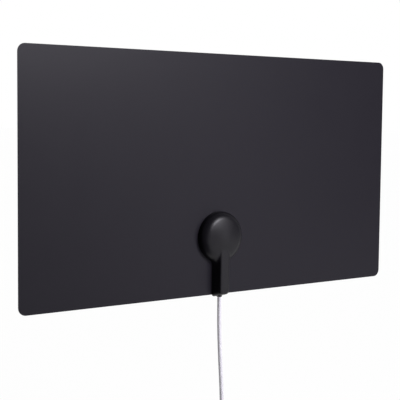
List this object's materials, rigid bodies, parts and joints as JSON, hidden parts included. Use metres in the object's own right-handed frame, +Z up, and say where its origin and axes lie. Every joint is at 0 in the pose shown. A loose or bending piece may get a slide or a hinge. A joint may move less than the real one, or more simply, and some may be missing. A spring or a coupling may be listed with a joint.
{
  "type": "flat indoor tv antenna",
  "caption": "Thin flat panel antenna for a wall, with a round domed housing and neck at its lower edge and a pale coaxial lead that ends in a screw-on connector.",
  "frame": {"origin": "on the wall plane, at the centre of the panel's back face", "axes": "+X along the panel's long side, to the right as seen from the front; +Y into the wall, out of the panel's back; +Z up along the short side"},
  "size_m": [0.546, 0.025, 0.5732],
  "materials": {
    "panel_film": "matte, very fine grain, faint violet grey sheen",
    "back_film": "matte",
    "foil": "bright",
    "housing": "satin, moulded",
    "back_housing": "fine moulded texture",
    "black_steel": "blackened",
    "board": "solder mask",
    "bright_steel": "zinc plated",
    "ferrite": "sintered, matte",
    "copper_wire": "enamelled copper",
    "chip_ceramic": "ceramic",
    "spring_bronze": "bright",
    "clamp_plastic": "moulded",
    "bushing_rubber": "matte",
    "lead_jacket": "satin, pale grey",
    "insulation": "milky white",
    "braid": "twisted braid",
    "tie_nylon": "moulded nylon",
    "boot_plastic": "satin, pale grey",
    "nickel": "nickel plated",
    "pin_metal": "drawn copper"
  },
  "bodies": {
    "antenna": {"front_sheet": "panel_film", "back_sheet": "back_film", "left_element": "foil", "right_element": "foil", "front_cover": "housing", "back_cover": "back_housing", "cover_screws": "black_steel", "circuit_board": "board", "board_screws": "bright_steel", "balun_core": "ferrite", "balun_winding": "copper_wire", "matching_chips": "chip_ceramic", "left_contact": "spring_bronze", "right_contact": "spring_bronze", "lead_clamp": "clamp_plastic", "clamp_screws": "bright_steel", "lead_bushing": "bushing_rubber", "lead_inside": "lead_jacket", "coax_insulation": "insulation", "coax_core": "copper_wire", "braid_pigtail": "braid", "lead": "lead_jacket", "lead_coil": "lead_jacket", "lead_tail": "lead_jacket", "cable_tie": "tie_nylon", "connector_boot": "boot_plastic", "connector_body": "nickel", "connector_insulator": "insulation", "centre_pin": "pin_metal"},
    "nut": {"coupling_nut": "nickel"}
  },
  "joints": [
    {"name": "nut_spin", "type": "hinge", "parent": "antenna", "child": "nut", "pos_m": [0.03795, -0.01945, -0.4209], "axis": [0, 0, -1], "continuous": true}
  ]
}
